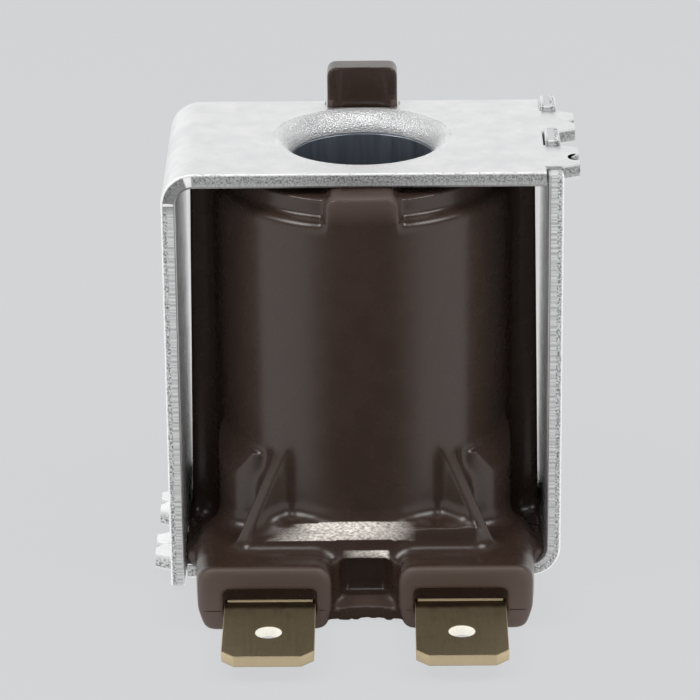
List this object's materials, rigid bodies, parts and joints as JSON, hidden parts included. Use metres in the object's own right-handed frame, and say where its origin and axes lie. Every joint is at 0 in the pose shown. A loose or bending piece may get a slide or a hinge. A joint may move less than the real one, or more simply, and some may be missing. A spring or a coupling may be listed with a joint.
{
  "type": "solenoid valve coil",
  "caption": "Moulded solenoid coil in a bent steel frame with a through bore, a locating peg and flat blade terminals, for switching a valve.",
  "frame": {"origin": "middle of the bore, on its axis and midway between the outer faces of the two plates", "axes": "+Z along the bore towards the locating peg, -Y towards the blade terminals, +X towards the staked tabs of the upper bracket"},
  "size_m": [0.0298, 0.0333, 0.034],
  "materials": {
    "zinc_steel": "zinc plated sheet with sheared edges",
    "brown_moulding": "semi-gloss moulded",
    "terminal_brass": "tarnished",
    "sleeve_steel": "dull rolled",
    "bobbin_plastic": "matte moulded",
    "copper_wire": "enamelled",
    "tape": "smooth film",
    "tube_plastic": "smooth tube",
    "solder": "bright"
  },
  "bodies": {
    "root": {"upper_yoke": "zinc_steel", "lower_yoke": "zinc_steel", "coil_overmould": "brown_moulding", "terminal_left": "terminal_brass", "terminal_right": "terminal_brass", "upper_flux_sleeve": "sleeve_steel", "lower_flux_sleeve": "sleeve_steel", "bobbin": "bobbin_plastic", "winding": "copper_wire", "winding_tape": "tape", "start_lead": "copper_wire", "finish_lead": "copper_wire", "start_lead_sleeve": "tube_plastic", "finish_lead_sleeve": "tube_plastic", "solder_joints": "solder"}
  },
  "joints": []
}
